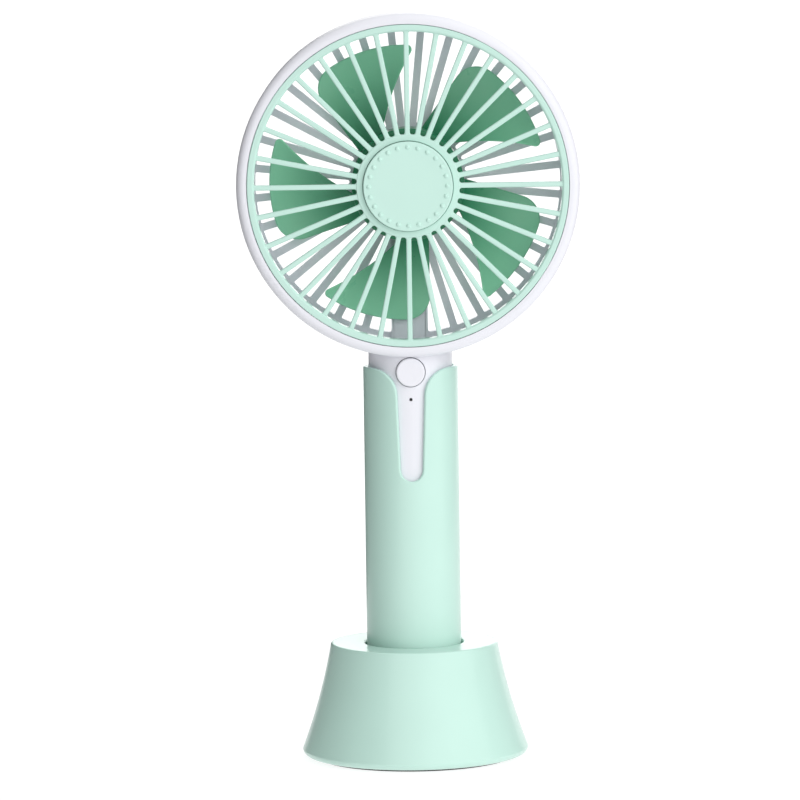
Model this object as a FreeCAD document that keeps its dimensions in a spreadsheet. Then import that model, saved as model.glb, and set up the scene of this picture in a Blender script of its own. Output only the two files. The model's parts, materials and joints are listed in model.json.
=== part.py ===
import FreeCAD, Part
import math
import os
from types import SimpleNamespace

import Sketcher

# Handheld electric fan standing in its desk stand. Millimetres, +Z up, the fan faces -Y.
# The origin is the centre of the stand's foot ring, on the surface that the stand rests on.
# Pieces of the fan head are drawn in the head frame: X to the right, Y up, Z towards the front,
# with its origin at the centre of the head. The other pieces are drawn in the part's own frame.

FreeCADVector = FreeCAD.Vector

# Driving dimensions: alias, value in millimetres, degrees or pieces, and what it measures.
SIZES = [
    # desk stand
    ("stand_height", 34.0, "stand, top surface above the table"),
    ("stand_top_radius", 24.4, "stand, radius of the flat top"),
    ("stand_foot_radius", 33.3, "stand, widest radius, just above the table"),
    ("stand_flare_radius", 176.0, "stand, radius of the hollow flare of the side"),
    ("stand_wall", 2.0, "stand, wall thickness"),
    ("stand_lift", 0.8, "stand, shell and base plate above the table"),
    ("stand_widest_height", 2.6, "stand, height of the widest place"),
    ("socket_radius", 14.5, "stand, radius of the socket for the handle"),
    ("socket_floor", 12.0, "stand, socket floor above the table"),
    ("plate_thickness", 2.0, "base plate thickness"),
    ("plate_radius", 31.0, "base plate radius"),
    ("well_top", 5.2, "base plate, top of the screw wells above the table"),
    ("foot_ring_inner", 24.0, "rubber foot ring, inner radius"),
    ("foot_ring_outer", 29.5, "rubber foot ring, outer radius"),
    ("foot_ring_height", 1.4, "rubber foot ring, thickness"),
    ("boss_pitch_radius", 19.4, "stand screws, radius of the circle they stand on"),
    ("boss_count", 3, "stand screws, number"),
    # handle
    ("sleeve_radius", 13.9, "handle sleeve, outer radius"),
    ("sleeve_wall", 1.45, "handle sleeve, wall thickness"),
    ("sleeve_top", 116.0, "handle sleeve, top edge above the table"),
    ("sleeve_floor", 1.6, "handle sleeve, thickness of its closed end"),
    ("window_shoulder", 8.0, "sleeve window, radius of the rounded shoulders"),
    ("window_top_half", 12.2, "sleeve window, half width at the top edge"),
    ("window_low_half", 3.4, "sleeve window, half width at its lower end"),
    ("window_bottom", 83.0, "sleeve window, lowest point above the table"),
    ("frame_radius", 12.3, "inner frame and neck, outer radius"),
    ("frame_wall", 1.4, "inner frame and neck, wall thickness"),
    ("frame_bottom", 13.7, "inner frame, lower end above the table"),
    ("frame_floor", 15.1, "inner frame, underside of its floor above the table"),
    # head
    ("head_height", 169.5, "centre of the head above the table"),
    ("head_radius", 50.0, "head, outer radius"),
    ("ring_wall", 2.4, "head ring, wall thickness"),
    ("ring_front", 15.0, "head ring, front lip before the centre plane"),
    ("ring_rear", 13.5, "head ring, rear edge behind the centre plane"),
    ("lip_outer", 47.8, "head ring, outer radius of the flat front lip"),
    ("lip_inner", 47.0, "head ring, bore that the front grille sits in"),
    ("lock_turn", 12.0, "front grille, degrees from locked to the notches that free it"),
    ("spoke_count", 32, "grille spokes, number in each grille"),
    ("front_spoke_width", 1.5, "front grille, spoke width"),
    ("rear_spoke_width", 2.2, "rear grille, spoke width"),
    ("grille_outer", 46.85, "front grille, outer radius"),
    ("grille_opening", 44.8, "front grille, outer radius of the slots"),
    ("grille_front", 15.0, "front grille, front of its rim"),
    ("spoke_front", 14.6, "front grille, front of the spokes"),
    ("spoke_depth", 2.0, "front grille, depth of the spokes"),
    ("cup_outer", 15.0, "front grille, outer radius of the aroma cup"),
    ("cup_inner", 13.2, "front grille, bore of the aroma cup"),
    ("cup_floor", 9.6, "front grille, rear of the aroma cup's floor"),
    ("rear_plate_front", 10.2, "rear grille, its inner face behind the centre plane"),
    ("rear_plate_depth", 2.0, "rear grille, depth of the spokes"),
    ("rear_opening", 45.0, "rear grille, outer radius of the slots"),
    ("rear_middle", 17.2, "rear grille, radius of the closed middle"),
    ("strut_width", 10.75, "wire channel, outer width"),
    ("strut_wall", 0.6, "wire channel, wall thickness"),
    ("cap_radius", 13.05, "aroma cap, radius"),
    ("cap_front", 16.4, "aroma cap, front face before the centre plane"),
    ("bead_circle", 11.4, "aroma cap, radius of the ring of beads"),
    ("bead_radius", 0.75, "aroma cap, radius of each bead's ball"),
    ("bead_count", 24, "aroma cap, number of beads"),
    # rotor and motor
    ("hub_radius", 16.5, "rotor, hub radius"),
    ("hub_front", 8.0, "rotor, front of the hub"),
    ("hub_rear", -4.5, "rotor, rear edge of the hub"),
    ("hub_wall", 1.5, "rotor, hub wall thickness"),
    ("tip_radius", 40.7, "rotor, blade tip radius"),
    ("blade_count", 5, "rotor, number of blades"),
    ("blade_thickness", 1.2, "rotor, blade thickness"),
    ("blade_rest_angle", 52.0, "rotor, degrees from the top to the first blade, clockwise from the front"),
    ("shaft_radius", 1.0, "motor shaft radius"),
    ("motor_radius", 12.2, "motor can, outer radius"),
    ("motor_wall", 0.8, "motor can, wall thickness"),
    ("motor_front", 0.3, "motor can, front face before the centre plane"),
    ("motor_rear", -12.0, "motor, rear face"),
    ("wire_radius", 0.55, "wires, radius over the insulation"),
    # electrics
    ("cell_radius", 9.15, "battery cell, radius"),
    ("cell_length", 65.0, "battery cell, length"),
    ("cell_bottom", 20.8, "battery cell, lower end above the table"),
    ("board_width", 17.0, "circuit board, width"),
    ("board_thickness", 1.6, "circuit board, thickness"),
    ("board_face", 1.0, "circuit board, front face behind the handle's axis"),
    ("board_bottom", 88.5, "circuit board, lower edge above the table"),
    ("board_top", 118.4, "circuit board, upper edge above the table"),
    ("post_height", 102.5, "circuit board, screws and posts above the table"),
    ("post_spread", 5.8, "circuit board, screws and posts from the middle"),
    ("button_height", 115.0, "power button, centre above the table"),
    ("button_radius", 4.2, "power button, radius"),
    ("button_front", 13.1, "power button, front face before the handle's axis"),
    ("light_height", 107.0, "status light, centre above the table"),
    ("light_radius", 0.5, "status light, radius of the hole"),
    ("port_height", 95.0, "charging socket, centre above the table"),
    ("port_width", 7.8, "charging socket, width of its shell"),
    ("port_thickness", 2.9, "charging socket, height of its shell"),
]

doc = FreeCAD.newDocument("handheld_fan")
sheet = doc.addObject("Spreadsheet::Sheet", "Sizes")
for row, (alias, value, meaning) in enumerate(SIZES, start=1):
    sheet.set(f"A{row}", meaning)
    sheet.set(f"B{row}", str(value))
    sheet.setAlias(f"B{row}", alias)
doc.recompute()


class Size:
    """A number together with the sheet formula that gives it."""

    def __init__(self, value, formula=None):
        self.value = float(value)
        self.formula = formula or f"{float(value):.6f}"

    def __add__(self, other):
        other = sized(other)
        return Size(self.value + other.value, f"({self.formula} + {other.formula})")

    def __sub__(self, other):
        other = sized(other)
        return Size(self.value - other.value, f"({self.formula} - {other.formula})")

    def __mul__(self, factor):
        return Size(self.value * factor, f"({self.formula} * {factor:.9f})")

    def __neg__(self):
        return self * -1.0

    __radd__ = __add__
    __rmul__ = __mul__

    def __rsub__(self, other):
        return sized(other) - self


def sized(number):
    """The number as a Size, so that plain numbers and cells mix freely."""
    return number if isinstance(number, Size) else Size(number)


dim = SimpleNamespace(**{alias: Size(value, f"Sizes.{alias}") for alias, value, _ in SIZES})
parts = []


def bind(item, **settings):
    """Tie each named property of the object to its size's formula in the sheet."""
    for name, size in settings.items():
        item.setExpression(name, sized(size).formula)


def put(item, x=0, y=0, z=0):
    """Tie the object's position to three sizes and return it."""
    for letter, size in zip("xyz", (x, y, z)):
        item.setExpression(f"Placement.Base.{letter}", sized(size).formula)
    return item


def turned(item, axis, angle):
    """Turn the object about an axis through its own origin and return it."""
    item.Placement = FreeCAD.Placement(item.Placement.Base, FreeCAD.Rotation(FreeCADVector(*axis), angle))
    return item


def finish(item, label, in_head=False):
    """Name a finished piece, put a piece drawn in the head frame in its place, and list it."""
    item.Label = label
    if in_head:
        turned(item, (1, 0, 0), 90)
        put(item, z=dim.head_height)
    parts.append(item)
    return item


# Sketches and features of bodies

def new_body(name):
    return doc.addObject("PartDesign::Body", name)


def origin_feature(body, role):
    return next(item for item in body.Origin.OriginFeatures if item.Role == role)


def new_sketch(body, plane, offset=0):
    """A sketch on the body's own plane, moved along the plane's normal by the offset."""
    sketch = body.newObject("Sketcher::SketchObject", body.Name + "_sketch")
    sketch.AttachmentSupport = [(origin_feature(body, plane), "")]
    sketch.MapMode = "FlatFace"
    sketch.setExpression("AttachmentOffset.Base.z", sized(offset).formula)
    return sketch


def tie(sketch, kind, places, size):
    """Add one dimension to the sketch and tie it to its size's formula."""
    index = sketch.addConstraint(Sketcher.Constraint(kind, *places, sized(size).value))
    if isinstance(size, Size):
        sketch.setExpression(f"Constraints[{index}]", size.formula)


def arc_between(start, end, radius):
    """The short arc from start to end: a positive radius turns left on the way, a negative one right."""
    chord = end - start
    half = chord.Length / 2
    rise = math.sqrt(max(radius * radius - half * half, 0))
    left = FreeCADVector(-chord.y, chord.x, 0).normalize()
    centre = start + chord * 0.5 + left * math.copysign(rise, radius)
    first, last = (start, end) if radius > 0 else (end, start)
    angles = [math.atan2(point.y - centre.y, point.x - centre.x) for point in (first, last)]
    circle = Part.Circle(centre, FreeCADVector(0, 0, 1), abs(radius))
    return Part.ArcOfCircle(circle, angles[0], angles[1])


def outline(sketch, corners):
    """A closed outline through the corners (x, y). A third number in a corner makes the way to the
    next corner an arc of that radius, which turns left where the radius is positive."""
    points = [FreeCADVector(sized(corner[0]).value, sized(corner[1]).value, 0) for corner in corners]
    ways = []
    for index, corner in enumerate(corners):
        start, end = points[index], points[(index + 1) % len(points)]
        if len(corner) == 2:
            ways.append((sketch.addGeometry(Part.LineSegment(start, end)), 1, 2))
        else:
            radius = sized(corner[2])
            way = sketch.addGeometry(arc_between(start, end, radius.value))
            ways.append((way, 1, 2) if radius.value > 0 else (way, 2, 1))
    for index, (way, first, _) in enumerate(ways):
        before, _, last = ways[index - 1]
        sketch.addConstraint(Sketcher.Constraint("Coincident", before, last, way, first))
        tie(sketch, "DistanceX", (way, first), corners[index][0])
        tie(sketch, "DistanceY", (way, first), corners[index][1])
    for (way, _, _), corner in zip(ways, corners):
        if len(corner) == 3:
            radius = sized(corner[2])
            tie(sketch, "Radius", (way,), radius if radius.value > 0 else -radius)
    return sketch


def rectangle(sketch, left, low, right, high):
    return outline(sketch, [(left, low), (right, low), (right, high), (left, high)])


def circle(sketch, radius, x=0, y=0):
    way = sketch.addGeometry(Part.Circle(FreeCADVector(sized(x).value, sized(y).value, 0),
                                         FreeCADVector(0, 0, 1), sized(radius).value))
    tie(sketch, "Radius", (way,), radius)
    tie(sketch, "DistanceX", (way, 3), x)
    tie(sketch, "DistanceY", (way, 3), y)
    return sketch


def volume(body):
    doc.recompute()
    return body.Shape.Volume if body.Tip else 0.0


def sketch_feature(body, kind, sketch, **settings):
    """Add a feature made from a sketch, and stop if it leaves the body's volume as it was."""
    before = volume(body)
    feature = body.newObject(kind, body.Name + "_" + kind.split("::")[1])
    feature.Profile = sketch
    for name, value in settings.items():
        if isinstance(value, Size):
            bind(feature, **{name: value})
        else:
            setattr(feature, name, value)
    body.Tip = feature
    if abs(volume(body) - before) < 1e-3:
        raise ValueError(f"{feature.Name} changes nothing")
    return feature


def revolve(body, sketch, cut=False):
    kind = "PartDesign::Groove" if cut else "PartDesign::Revolution"
    return sketch_feature(body, kind, sketch, ReferenceAxis=(sketch, ["V_Axis"]), Angle=360)


def pad(body, sketch, length, back=False):
    return sketch_feature(body, "PartDesign::Pad", sketch, Length=sized(length), Reversed=back)


def pocket(body, sketch, depth, back=False):
    return sketch_feature(body, "PartDesign::Pocket", sketch, Length=sized(depth), Reversed=back)


def polar(body, feature, count):
    """Repeat a feature evenly around the body's Z axis."""
    before = volume(body)
    pattern = body.newObject("PartDesign::PolarPattern", body.Name + "_pattern")
    pattern.Originals = [feature]
    pattern.Axis = (origin_feature(body, "Z_Axis"), [""])
    pattern.Angle = 360
    bind(pattern, Occurrences=count)
    body.Tip = pattern
    if abs(volume(body) - before) < 1e-3:
        raise ValueError(f"{pattern.Name} changes nothing")
    return pattern


def rounded(body, radius, chosen):
    """Round the edges of the body for which chosen(edge) is true."""
    doc.recompute()
    base = body.Tip
    names = [f"Edge{number}" for number, edge in enumerate(base.Shape.Edges, start=1) if chosen(edge)]
    fillet = body.newObject("PartDesign::Fillet", body.Name + "_Fillet")
    fillet.Base = (base, names)
    bind(fillet, Radius=sized(radius))
    body.Tip = fillet
    return fillet


# Simple solids and their combinations

def cylinder(radius, height, x=0, y=0, z=0, axis=None, angle=0):
    item = doc.addObject("Part::Cylinder", "cylinder")
    bind(item, Radius=sized(radius), Height=sized(height))
    if axis:
        turned(item, axis, angle)
    return put(item, x, y, z)


def block(width, depth, height, x=0, y=0, z=0):
    """A box centred on x and y, with its underside at z."""
    item = doc.addObject("Part::Box", "block")
    bind(item, Length=sized(width), Width=sized(depth), Height=sized(height))
    return put(item, sized(x) - sized(width) * 0.5, sized(y) - sized(depth) * 0.5, z)


def cut(base, *tools):
    for tool in tools:
        result = doc.addObject("Part::Cut", "cut")
        result.Base = base
        result.Tool = tool
        base = result
    return base


def fuse(*items):
    result = doc.addObject("Part::MultiFuse", "fuse")
    result.Shapes = list(items)
    return result


def common(*items):
    result = doc.addObject("Part::MultiCommon", "common")
    result.Shapes = list(items)
    return result


def group(items):
    result = doc.addObject("Part::Compound", "group")
    result.Links = list(items)
    return result


def screw(head_radius, head_height, shank_radius, length):
    """A pan-head screw along Z: its head stands on the XY plane's lower side, its shank points up."""
    head = cylinder(head_radius, head_height, z=-sized(head_height))
    shank = cylinder(shank_radius, length)
    slot_one = block(head_radius, 0.5, 0.5, z=-sized(head_height))
    slot_two = block(0.5, head_radius, 0.5, z=-sized(head_height))
    return cut(fuse(head, shank), slot_one, slot_two)


def on_circle(number, count, radius):
    """X and Y of one of several points spaced evenly on a circle, the first on the Y axis's far side."""
    angle = math.radians(90 + 360 * number / count)
    return radius * math.cos(angle), radius * math.sin(angle)


# Desk stand

def make_stand_shell():
    shell = new_body("stand_shell")
    wall = dim.stand_wall
    top = dim.stand_height
    tube_outer = dim.socket_radius + wall
    edge = 0.5
    mouth = 0.6
    inner_low = dim.plate_radius + 0.2
    inner_high = dim.stand_top_radius - wall + 0.2
    profile = new_sketch(shell, "XZ_Plane")
    outline(profile, [
        (inner_low, dim.stand_lift),
        (dim.stand_foot_radius - 1.7, dim.stand_lift, 1.9),
        (dim.stand_foot_radius, dim.stand_widest_height, -dim.stand_flare_radius),
        (dim.stand_top_radius + edge * 0.5, top - edge, edge * 1.2),
        (dim.stand_top_radius - edge, top),
        (dim.socket_radius + mouth, top, mouth * 1.05),
        (dim.socket_radius, top - mouth),
        (dim.socket_radius, dim.socket_floor),
        (0, dim.socket_floor),
        (0, dim.socket_floor - wall),
        (tube_outer, dim.socket_floor - wall),
        (tube_outer, top - wall),
        (inner_high, top - wall, dim.stand_flare_radius + wall),
        (inner_low, dim.stand_widest_height + 0.4),
    ])
    revolve(shell, profile)
    boss = new_sketch(shell, "XY_Plane", dim.well_top)
    circle(boss, 2.7, 0, dim.boss_pitch_radius)
    circle(boss, 1.1, 0, dim.boss_pitch_radius)
    polar(shell, pad(shell, boss, top - wall - dim.well_top + 0.5), dim.boss_count)
    return finish(shell, "stand_shell")


def make_base_plate():
    plate = new_body("stand_base_plate")
    bottom = dim.stand_lift
    top = dim.stand_lift + dim.plate_thickness
    groove = 0.6
    play = 0.15
    profile = new_sketch(plate, "XZ_Plane")
    outline(profile, [
        (0, bottom),
        (dim.foot_ring_inner - play, bottom),
        (dim.foot_ring_inner - play, bottom + groove),
        (dim.foot_ring_outer + play, bottom + groove),
        (dim.foot_ring_outer + play, bottom),
        (dim.plate_radius, bottom),
        (dim.plate_radius, top),
        (0, top),
    ])
    revolve(plate, profile)
    well = new_sketch(plate, "XY_Plane", top)
    circle(well, 4.0, 0, dim.boss_pitch_radius)
    polar(plate, pad(plate, well, dim.well_top - top), dim.boss_count)
    recess = new_sketch(plate, "XY_Plane", bottom)
    circle(recess, 2.7, 0, dim.boss_pitch_radius)
    polar(plate, pocket(plate, recess, 2.4, back=True), dim.boss_count)
    hole = new_sketch(plate, "XY_Plane", bottom)
    circle(hole, 1.4, 0, dim.boss_pitch_radius)
    polar(plate, pocket(plate, hole, 6, back=True), dim.boss_count)
    return finish(plate, "stand_base_plate")


def make_foot_ring():
    ring = new_body("stand_foot_ring")
    soft = 0.4
    profile = new_sketch(ring, "XZ_Plane")
    outline(profile, [
        (dim.foot_ring_inner + soft, 0),
        (dim.foot_ring_outer - soft, 0, soft),
        (dim.foot_ring_outer, soft),
        (dim.foot_ring_outer, dim.foot_ring_height),
        (dim.foot_ring_inner, dim.foot_ring_height),
        (dim.foot_ring_inner, soft, soft),
    ])
    revolve(ring, profile)
    return finish(ring, "stand_foot_ring")


def make_stand_screws():
    screws = []
    seat = dim.stand_lift + 2.4
    for number in range(int(dim.boss_count.value)):
        x, y = on_circle(number, dim.boss_count.value, dim.boss_pitch_radius.value)
        screws.append(put(screw(2.4, 1.5, 1.05, 9), x, y, seat))
    return finish(group(screws), "stand_screws")


# Handle

def make_handle_sleeve():
    sleeve = new_body("handle_sleeve")
    inner = dim.sleeve_radius - dim.sleeve_wall
    bottom = dim.socket_floor
    edge = 0.5
    pad_top = dim.frame_floor - 0.1
    profile = new_sketch(sleeve, "XZ_Plane")
    outline(profile, [
        (2.7, bottom),
        (dim.sleeve_radius - 1.0, bottom, 1.0),
        (dim.sleeve_radius, bottom + 1.0),
        (dim.sleeve_radius, dim.sleeve_top - edge, edge),
        (dim.sleeve_radius - edge, dim.sleeve_top),
        (inner, dim.sleeve_top),
        (inner, bottom + dim.sleeve_floor),
        (4.2, bottom + dim.sleeve_floor),
        (4.2, pad_top),
        (1.4, pad_top),
        (1.4, bottom + dim.sleeve_floor),
        (2.7, bottom + dim.sleeve_floor),
    ])
    revolve(sleeve, profile)
    window = new_sketch(sleeve, "XZ_Plane")
    shoulder_low = dim.sleeve_top - dim.window_shoulder
    neck_half = dim.window_top_half - dim.window_shoulder
    end_height = dim.window_bottom + dim.window_low_half
    outline(window, [
        (-dim.window_top_half, dim.sleeve_top, -dim.window_shoulder),
        (-neck_half, shoulder_low),
        (-dim.window_low_half, end_height, dim.window_low_half),
        (0, dim.window_bottom, dim.window_low_half),
        (dim.window_low_half, end_height),
        (neck_half, shoulder_low, -dim.window_shoulder),
        (dim.window_top_half, dim.sleeve_top),
        (dim.window_top_half, dim.sleeve_top + 2),
        (-dim.window_top_half, dim.sleeve_top + 2),
    ])
    pocket(sleeve, window, dim.sleeve_radius + 1, back=True)
    port = new_sketch(sleeve, "XZ_Plane")
    half, end = 2.2, 3.7
    outline(port, [
        (-half, dim.port_height - end),
        (half, dim.port_height - end, end),
        (half + end, dim.port_height, end),
        (half, dim.port_height + end),
        (-half, dim.port_height + end, end),
        (-half - end, dim.port_height, end),
    ])
    pocket(sleeve, port, dim.sleeve_radius + 1)
    return finish(sleeve, "handle_sleeve")


def make_battery():
    cell = new_body("battery_cell")
    bottom = dim.cell_bottom
    top = dim.cell_bottom + dim.cell_length
    profile = new_sketch(cell, "XZ_Plane")
    outline(profile, [
        (0, bottom),
        (dim.cell_radius - 0.6, bottom, 0.6),
        (dim.cell_radius, bottom + 0.6),
        (dim.cell_radius, top - 3.2),
        (dim.cell_radius - 0.5, top - 2.7),
        (dim.cell_radius, top - 2.2),
        (dim.cell_radius, top - 1.2),
        (dim.cell_radius - 0.8, top - 0.6),
        (3.0, top - 0.6),
        (3.0, top),
        (0, top),
    ])
    revolve(cell, profile)
    return finish(cell, "battery_cell")


def make_battery_tabs():
    low = block(6, 12, 0.2, y=2.4, z=dim.cell_bottom - 0.2)
    high = block(5, 6, 0.2, y=2.0, z=dim.cell_bottom + dim.cell_length)
    return finish(group([low, high]), "battery_tabs")


def make_board():
    height = dim.board_top - dim.board_bottom
    middle = dim.board_face + dim.board_thickness * 0.5
    board = block(dim.board_width, dim.board_thickness, height, y=middle, z=dim.board_bottom)
    holes = []
    for x in (-dim.post_spread, dim.post_spread):
        holes.append(cylinder(1.0, 6, x, dim.board_face - 2, dim.post_height, (1, 0, 0), -90))
    return finish(cut(board, *holes), "circuit_board")


def make_board_components():
    front = dim.board_face
    rear = dim.board_face + dim.board_thickness
    chips = [
        block(4.9, 1.5, 3.9, -3.2, front - 0.75, 94.0),
        block(3.0, 1.1, 1.6, 4.2, front - 0.55, 98.0),
        block(5.0, 2.4, 5.0, 4.2, front - 1.2, 90.6),
        block(2.0, 0.9, 1.2, -3.2, front - 0.45, 91.0),
        block(1.6, 0.6, 0.8, 2.6, front - 0.3, 101.2),
        block(1.6, 0.6, 0.8, -2.6, front - 0.3, 101.2),
        block(3.2, 1.2, 1.6, -5.2, rear + 0.6, 108.0),
    ]
    return finish(group(chips), "board_components")


def make_board_screws():
    screws = []
    for x in (-dim.post_spread, dim.post_spread):
        item = turned(screw(1.8, 1.0, 0.85, 5.2), (1, 0, 0), -90)
        screws.append(put(item, x, dim.board_face, dim.post_height))
    return finish(group(screws), "board_screws")


def make_switch():
    depth = 3.5
    top = dim.board_face - depth
    body = block(6.0, depth, 6.0, y=dim.board_face - depth * 0.5, z=dim.button_height - 3.0)
    well = cylinder(1.95, 2.0, 0, top - 0.1, dim.button_height, (1, 0, 0), -90)
    return finish(cut(body, well), "button_switch")


def make_light():
    lamp = block(2.0, 0.8, 1.2, y=dim.board_face - 0.4, z=dim.light_height - 0.6)
    return finish(lamp, "status_led")


def make_light_pipe():
    rear = dim.board_face - 0.9
    step = -(dim.frame_radius - dim.frame_wall - 0.2)
    foot = cylinder(1.2, rear - step, 0, rear, dim.light_height, (1, 0, 0), 90)
    tip_length = step + dim.frame_radius - 0.3
    tip = cylinder(dim.light_radius - 0.03, tip_length, 0, step, dim.light_height, (1, 0, 0), 90)
    return finish(fuse(foot, tip), "led_light_pipe")


def make_port():
    rear = dim.board_face + dim.board_thickness
    length = 9.0
    wall = 0.3
    height = dim.port_thickness
    low = dim.port_height - height * 0.5
    shell = block(dim.port_width, length, height, y=rear + length * 0.5, z=low)
    mouth = 5.5
    mouth_middle = rear + length - mouth * 0.5 + 0.01
    hollow = block(dim.port_width - wall * 2, mouth, height - wall * 2, y=mouth_middle, z=low + wall)
    tongue = block(3.6, 4.8, 0.7, y=rear + length - 3.4, z=dim.port_height + 0.1)
    return finish(fuse(cut(shell, hollow), tongue), "charging_socket")


def make_sleeve_screw():
    return finish(put(screw(2.3, 1.3, 1.05, 5.8), z=dim.socket_floor + dim.sleeve_floor), "sleeve_screw")


def make_button():
    button = new_body("power_button")
    inner = 9.3
    profile = new_sketch(button, "XZ_Plane")
    outline(profile, [
        (0, 7.5),
        (1.4, 7.5),
        (1.4, inner - 0.8),
        (dim.button_radius + 0.8, inner - 0.8),
        (dim.button_radius + 0.8, inner),
        (dim.button_radius, inner),
        (dim.button_radius, dim.button_front - 0.5, 0.5),
        (dim.button_radius - 0.5, dim.button_front),
        (0, dim.button_front),
    ])
    revolve(button, profile)
    flat = new_sketch(button, "XY_Plane", inner - 1.0)
    rectangle(flat, -6, dim.button_radius + 0.1, 6, 6)
    pocket(button, flat, 1.1, back=True)
    turned(button, (1, 0, 0), 90)
    put(button, z=dim.button_height)
    return finish(button, "power_button")


def make_plunger():
    front = -7.5
    length = 5.9
    item = cylinder(1.75, length, 0, front, dim.button_height, (1, 0, 0), -90)
    return finish(item, "switch_plunger")


# Head housings, drawn in the head frame

def handle_half(body, side):
    """The half tube of the neck and the inner frame: side 1 is the front half, -1 the rear half."""
    outer = dim.frame_radius
    inner = dim.frame_radius - dim.frame_wall
    within = inner + 0.2
    seam = 0.05 * side
    hidden_top = 46
    tube = new_sketch(body, "XZ_Plane", hidden_top)
    outline(tube, [
        (outer, seam, outer * side),
        (0, seam + outer * side, outer * side),
        (-outer, seam),
        (-inner, seam, inner * -side),
        (0, seam + inner * side, inner * -side),
        (inner, seam),
    ])
    pad(body, tube, dim.head_height - dim.frame_bottom - hidden_top)
    floor = new_sketch(body, "XZ_Plane", dim.head_height - dim.frame_floor - 1.5)
    outline(floor, [
        (within, seam, within * side),
        (0, seam + within * side, within * side),
        (-within, seam),
    ])
    pad(body, floor, 1.5)


def clear_head(body, radius, rear, front):
    """Clear a round space inside the head before its ring is added."""
    space = new_sketch(body, "XZ_Plane")
    rectangle(space, 0, rear, radius, front)
    revolve(body, space, cut=True)


def make_front_housing():
    housing = new_body("front_housing")
    handle_half(housing, 1)
    inner = dim.head_radius - dim.ring_wall
    clear_head(housing, inner, -2, dim.ring_front)
    lap = 1.3
    lug_rear, lug_front, lug_inner = 11.65, 13.15, 45.9
    ring = new_sketch(housing, "XZ_Plane")
    outline(ring, [
        (dim.lip_inner, lug_front),
        (dim.lip_inner, dim.ring_front),
        (dim.lip_outer, dim.ring_front, -(dim.head_radius - dim.lip_outer)),
        (dim.head_radius, dim.ring_front - dim.head_radius + dim.lip_outer),
        (dim.head_radius, 0),
        (inner + lap, 0),
        (inner + lap, -1.2),
        (inner, -1.2),
        (inner, lug_rear),
        (lug_inner, lug_rear),
        (lug_inner, lug_front),
    ])
    revolve(housing, ring)
    notch = new_sketch(housing, "XY_Plane", lug_rear - 0.1)
    near, far = lug_inner - 0.5, dim.lip_inner
    open_angle = 45 + dim.lock_turn.value
    start, end = math.radians(open_angle - 7.5), math.radians(open_angle + 7.5)
    outline(notch, [
        (near * math.cos(start), near * math.sin(start)),
        (far * math.cos(start), far * math.sin(start), far),
        (far * math.cos(end), far * math.sin(end)),
        (near * math.cos(end), near * math.sin(end), near * -1),
    ])
    polar(housing, pocket(housing, notch, lug_front - lug_rear + 0.15, back=True), 4)
    hole = new_sketch(housing, "XY_Plane")
    circle(hole, dim.button_radius + 0.2, 0, dim.button_height - dim.head_height)
    circle(hole, dim.light_radius, 0, dim.light_height - dim.head_height)
    pocket(housing, hole, dim.frame_radius + 1, back=True)
    relief = new_sketch(housing, "XZ_Plane", dim.head_height - dim.frame_floor - 2)
    circle(relief, 5.6)
    pocket(housing, relief, 3, back=True)
    return finish(housing, "front_housing", in_head=True)


def slot_outline(sketch, inner, outer, width, centre):
    """The slot between two neighbouring spokes, with a round inner end, centred on an angle."""
    half = math.pi / dim.spoke_count.value
    centre = math.radians(centre)
    bottom = (sized(inner) - width * 0.5) * (1 / (1 - math.sin(half)))
    end_radius = bottom - inner

    def along(distance, side):
        """The point on one side of the slot, a distance out along the neighbouring spoke."""
        u = distance * math.cos(half) + width * (0.5 * math.sin(half))
        v = (distance * math.sin(half) - width * (0.5 * math.cos(half))) * side
        return u * math.cos(centre) - v * math.sin(centre), u * math.sin(centre) + v * math.cos(centre)

    near = bottom * math.cos(half)
    soft = 0.45
    far = sized(outer) - soft
    lean = half - (width.value * 0.5 + soft) / outer.value
    tips = []
    for side in (-1, 1):
        angle = centre + side * lean
        tips.append((outer * math.cos(angle), outer * math.sin(angle)))
    outline(sketch, [
        (*along(near, -1),),
        (*along(far, -1), soft * 1.05),
        (*tips[0], outer),
        (*tips[1], soft * 1.05),
        (*along(far, 1),),
        (*along(near, 1), end_radius),
        (inner * math.cos(centre), inner * math.sin(centre), end_radius),
    ])


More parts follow.
